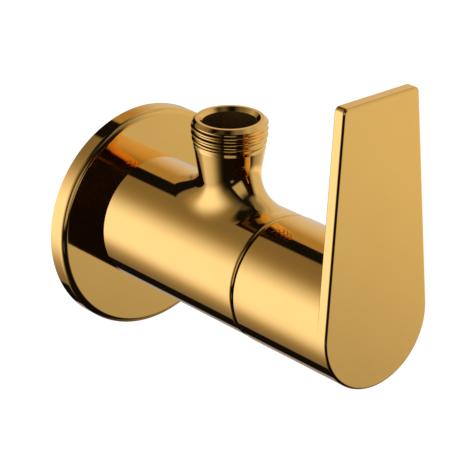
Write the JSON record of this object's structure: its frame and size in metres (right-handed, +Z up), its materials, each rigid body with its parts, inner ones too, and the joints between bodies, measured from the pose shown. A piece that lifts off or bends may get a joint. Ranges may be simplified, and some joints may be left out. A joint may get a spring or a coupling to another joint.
{
  "type": "angle stop valve",
  "caption": "Polished gold angle stop valve: round wall flange, cylindrical body with a threaded outlet pointing up, and a flat lever handle that makes a quarter turn.",
  "frame": {"origin": "on the inlet axis, in the plane of the wall, which is the back face of the wall flange", "axes": "+Y runs along the inlet spigot into the wall, -Y runs out to the user through the lever plate, +Z is up along the outlet"},
  "size_m": [0.064, 0.1112, 0.0945],
  "materials": {
    "body_gold": "mirror polished gold plating",
    "flange_gold": "mirror polished gold plating",
    "handle_gold": "mirror polished gold plating",
    "brass": "turned",
    "steel": "plain",
    "rubber": "moulded",
    "ceramic": "lapped alumina",
    "ptfe": "plain",
    "nylon": "moulded, black",
    "plug": "moulded, gold"
  },
  "bodies": {
    "valve": {"fixed_disc": "ceramic", "flange_ring": "rubber", "guide_ring": "nylon", "headwork_body": "brass", "headwork_ring": "rubber", "seat_seal": "rubber", "slide_washer": "ptfe", "valve_body": "body_gold", "wall_flange": "flange_gold"},
    "lever": {"handle": "handle_gold", "handle_insert": "brass", "insert_screw": "steel", "grub_screw": "steel", "grub_plug": "plug", "spindle": "brass", "spindle_ring_rear": "rubber", "spindle_ring_front": "rubber", "circlip": "steel", "stop_washer": "steel", "moving_disc": "ceramic"}
  },
  "joints": [
    {"name": "quarter_turn", "type": "hinge", "parent": "valve", "child": "lever", "pos_m": [0, -0.065, 0], "axis": [0, -1, 0], "range_deg": [0, 90]}
  ]
}
